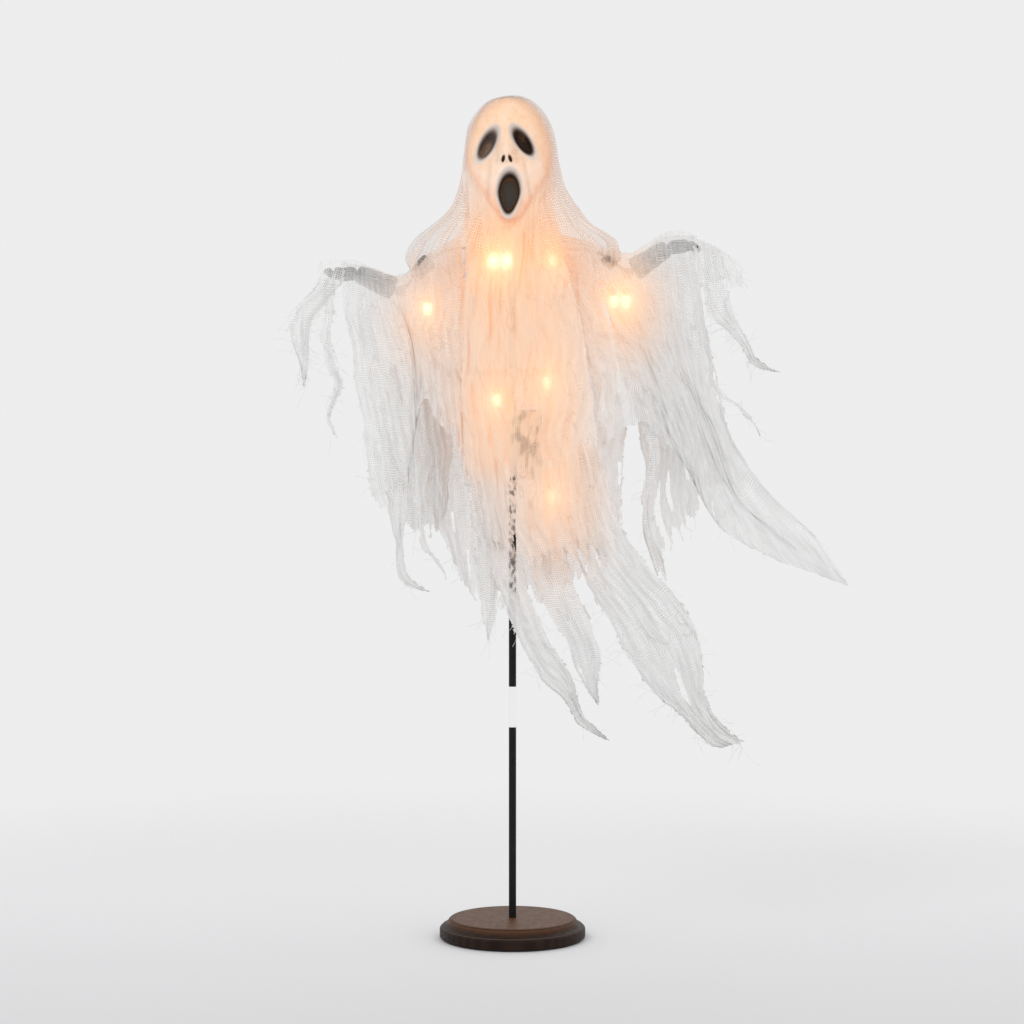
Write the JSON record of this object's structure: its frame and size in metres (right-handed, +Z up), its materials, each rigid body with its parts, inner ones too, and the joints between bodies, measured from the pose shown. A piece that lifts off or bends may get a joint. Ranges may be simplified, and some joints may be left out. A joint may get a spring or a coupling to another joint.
{
  "type": "light-up ghost figure",
  "caption": "Gauze ghost with a hollow-eyed face and raised arms, lit from inside, on a slim rod in a round turned wooden base.",
  "frame": {"origin": "centre of the base's underside, on the rod's axis", "axes": "+Z up along the rod, the face looks towards -Y, +X to the right as seen from the front"},
  "size_m": [0.609, 0.158, 0.9132],
  "materials": {
    "walnut": "dark stained, satin lacquer",
    "steel": "plain",
    "felt": "black felt",
    "black_rod": "satin black",
    "clear_acrylic": "polished clear",
    "white_plastic": "moulded",
    "head_shell": "milky, lit from inside, hollows sprayed dark",
    "black_plastic": "moulded",
    "coated_wire": "white coated",
    "grey_foam": "charcoal foam",
    "clear_lead": "clear flex",
    "lamp_glow": "warm white lamp",
    "cell_jacket": "plain jacket",
    "gauze": "loose cotton gauze, torn edges"
  },
  "bodies": {
    "stand": {"base_plaque": "walnut", "base_weight": "steel", "base_felt_pad": "felt", "base_washer": "steel", "base_bolt": "steel", "lower_rod": "black_rod"},
    "joint_rod": {"clear_joint_rod": "clear_acrylic"},
    "figure": {"upper_rod": "black_rod", "neck_post": "white_plastic", "head_front": "head_shell", "head_back": "head_shell", "hub_body": "black_plastic", "hub_cap": "black_plastic", "hub_screws": "steel", "thumb_screw": "black_plastic", "shoulder_yoke": "coated_wire", "left_shoulder_foam": "grey_foam", "right_shoulder_foam": "grey_foam", "elbow_rivets": "steel", "lower_ring": "white_plastic", "middle_ring": "white_plastic", "upper_ring": "white_plastic", "light_string": "clear_lead", "head_lamp_lead": "clear_lead", "lead_splice": "black_plastic", "lamp_holders": "white_plastic", "lamps": "lamp_glow", "string_clips": "white_plastic", "battery_case": "black_plastic", "battery_cells": "cell_jacket", "battery_contacts": "steel", "rod_clips": "black_plastic", "hood": "gauze", "gown_front": "gauze", "gown_back": "gauze", "left_tail": "gauze", "centre_tail": "gauze", "inner_tail": "gauze", "great_tail": "gauze"},
    "left_forearm": {"left_forearm_wire": "coated_wire", "left_forearm_foam": "grey_foam", "left_hand": "grey_foam", "left_sleeve_front": "gauze", "left_sleeve_back": "gauze", "left_cuff": "gauze"},
    "right_forearm": {"right_forearm_wire": "coated_wire", "right_forearm_foam": "grey_foam", "right_hand": "grey_foam", "right_sleeve_front": "gauze", "right_sleeve_back": "gauze", "right_cuff": "gauze"},
    "battery_door": {"battery_door": "black_plastic"},
    "power_switch": {"power_switch": "black_plastic"}
  },
  "joints": [
    {"name": "pole_joint", "type": "slide", "parent": "stand", "child": "joint_rod", "axis": [0, 0, 1], "range_m": [0, 0.02]},
    {"name": "figure_swivel", "type": "hinge", "parent": "joint_rod", "child": "figure", "pos_m": [0, 0, 0.2725], "axis": [0, 0, 1], "continuous": true},
    {"name": "left_elbow", "type": "hinge", "parent": "figure", "child": "left_forearm", "pos_m": [-0.122, 0.008, 0.702], "axis": [0, 1, 0], "range_deg": [-20, 20], "deforming": ["left_sleeve_front", "left_sleeve_back"]},
    {"name": "right_elbow", "type": "hinge", "parent": "figure", "child": "right_forearm", "pos_m": [0.126, 0.008, 0.722], "axis": [0, -1, 0], "range_deg": [-20, 20], "deforming": ["right_sleeve_front", "right_sleeve_back"]},
    {"name": "battery_door_slide", "type": "slide", "parent": "figure", "child": "battery_door", "axis": [0, 0, 1], "range_m": [0, 0.06]},
    {"name": "power_switch_slide", "type": "slide", "parent": "figure", "child": "power_switch", "axis": [0, 0, 1], "range_m": [0, 0.003]}
  ]
}
